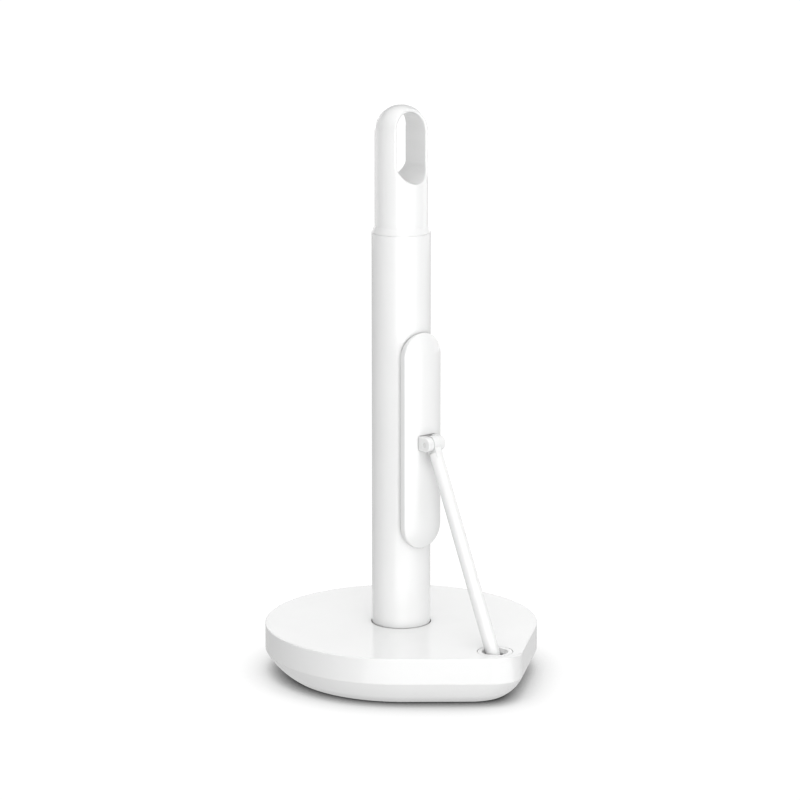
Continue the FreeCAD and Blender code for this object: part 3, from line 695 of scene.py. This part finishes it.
def cross_cutter(arm, width, depth):
    """A tapered cross, to cut a screw's recess upwards from z = 0."""
    corners = []
    for c, s in ((1, 0), (0, 1), (-1, 0), (0, -1)):
        for x, y in ((width, -width), (arm, -width), (arm, width)):
            corners.append((x * c - y * s, x * s + y * c))
    rings = []
    for scale, z in zip(RECESS_SCALES, (-depth * RECESS_LEAD, 0.0, depth)):
        rings.append([(x * scale, y * scale, z) for x, y in corners])
    return closed_skin(rings)


def cut_away(body, tool):
    """The first mesh less the second, as points and faces."""
    made = []
    for name, (points, faces) in (("stock", body), ("tool", tool)):
        obj = bpy.data.objects.new(name, mesh_of(name, points, faces))
        bpy.context.scene.collection.objects.link(obj)
        made.append(obj)
    cut = made[0].modifiers.new("cut", "BOOLEAN")
    cut.operation = "DIFFERENCE"
    cut.solver = "EXACT"
    cut.object = made[1]
    graph = bpy.context.evaluated_depsgraph_get()
    result = bpy.data.meshes.new_from_object(made[0].evaluated_get(graph))
    points = [tuple(v.co) for v in result.vertices]
    faces = [tuple(f.vertices) for f in result.polygons]
    for obj in made:
        bpy.data.objects.remove(obj)
    return points, faces


def make_cross_screws(name, node, head, shank, depth):
    """Four countersunk screws with a cross recess, heads down, where the node's screws are.

    head and shank are radii, and depth is the recess's.
    """
    low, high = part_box(node)
    reach = high.x - head
    tall = high.z - low.z
    neck = HEAD_RIM + (head - shank) * HEAD_CONE
    stack = [(head - HEAD_INSET, 0.0), (head, HEAD_ROUND), (head, HEAD_RIM), (shank, neck)]
    turns = int((tall - SCREW_TIP - neck) / THREAD_PITCH)
    for i in range(1, turns):
        crest = shank if i % 2 else shank * THREAD_ROOT
        stack.append((crest, neck + i * THREAD_PITCH))
    stack.append((shank * TIP_SCALE, tall))
    one = closed_skin([circle(r, 0.0, 0.0, z, SCREW_POINTS) for r, z in stack])
    one = cut_away(one, cross_cutter(head * RECESS_ARM, head * RECESS_WIDTH, depth))
    parts = []
    for sx, sy in ((1, 1), (-1, 1), (-1, -1), (1, -1)):
        moved = [(x + sx * reach, y + sy * reach, z + low.z) for x, y, z in one[0]]
        parts.append((moved, one[1]))
    points, faces = joined(parts)
    make_piece(name, points, faces, node, "base", "zinc_steel", SCREW_SHARP)


# ---------------------------------------------------------------- liner
LINER_THICK = 0.0016
LINER_COLUMNS = 144
# Rows in each round end, evenly spaced by angle, and stretches in the straight part.
END_ROWS = 15
END_STEP = 6
END_START = 2
STRAIGHT_STRETCHES = 12
RIB_PITCH = 0.0024
RIB_DEPTH = 0.00045
RIB_FIELD = 0.0118
RIB_FADE = 0.0006


def liner_levels(bottom, top, half):
    """Heights of the liner's rows: close together in the round ends, wider between them."""
    levels = []
    for i in range(END_ROWS):
        levels.append(bottom + half * (1 - math.cos(math.radians(END_STEP * i + END_START))))
    straight = top - bottom - 2 * half
    for i in range(1, STRAIGHT_STRETCHES):
        levels.append(bottom + half + straight * i / STRAIGHT_STRETCHES)
    levels += [top - (z - bottom) for z in reversed(levels[:END_ROWS])]
    return levels


def make_liner():
    """Soft liner with round ends and upright grip ribs on its hollow face."""
    low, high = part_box("pad_liner")
    half = high.y
    back = high.x - LINER_THICK
    sag = back - low.x
    radius = (half ** 2 + sag ** 2) / (2 * sag)
    wide = radius + LINER_THICK
    rings = []
    for z in liner_levels(low.z, high.z, half):
        end = max(low.z + half - z, z - (high.z - half), 0.0)
        width = math.sqrt(max(half ** 2 - end ** 2, 0.0))
        hollow, outer = [], []
        for c in range(LINER_COLUMNS + 1):
            y = width * (2 * c / LINER_COLUMNS - 1)
            x = back - radius + math.sqrt(radius ** 2 - y ** 2)
            edge = min(1.0, max(0.0, (min(width, RIB_FIELD) - abs(y)) / RIB_FADE))
            wave = 0.5 - 0.5 * math.cos(2 * math.pi * y / RIB_PITCH)
            hollow.append((x + RIB_DEPTH * edge * wave, y, z))
            outer.append((high.x - wide + math.sqrt(wide ** 2 - y ** 2), y, z))
        rings.append(hollow + outer[::-1])
    points, faces = closed_skin(rings)
    make_piece("ribbed_liner", points, faces, "pad_liner", "pad", "soft_liner")


# ---------------------------------------------------------------- making
make_camera()
make_floor()
make_light()
MATERIALS = make_materials()
dress_nodes(MATERIALS)
make_mat()
make_cross_screws(
    "cover_cross_screws", "cover_screws", head=0.0028, shank=0.0015, depth=0.0009
)
make_cross_screws(
    "ballast_cross_screws", "ballast_screws", head=0.0038, shank=0.002, depth=0.0014
)
make_liner()

bpy.context.view_layer.update()
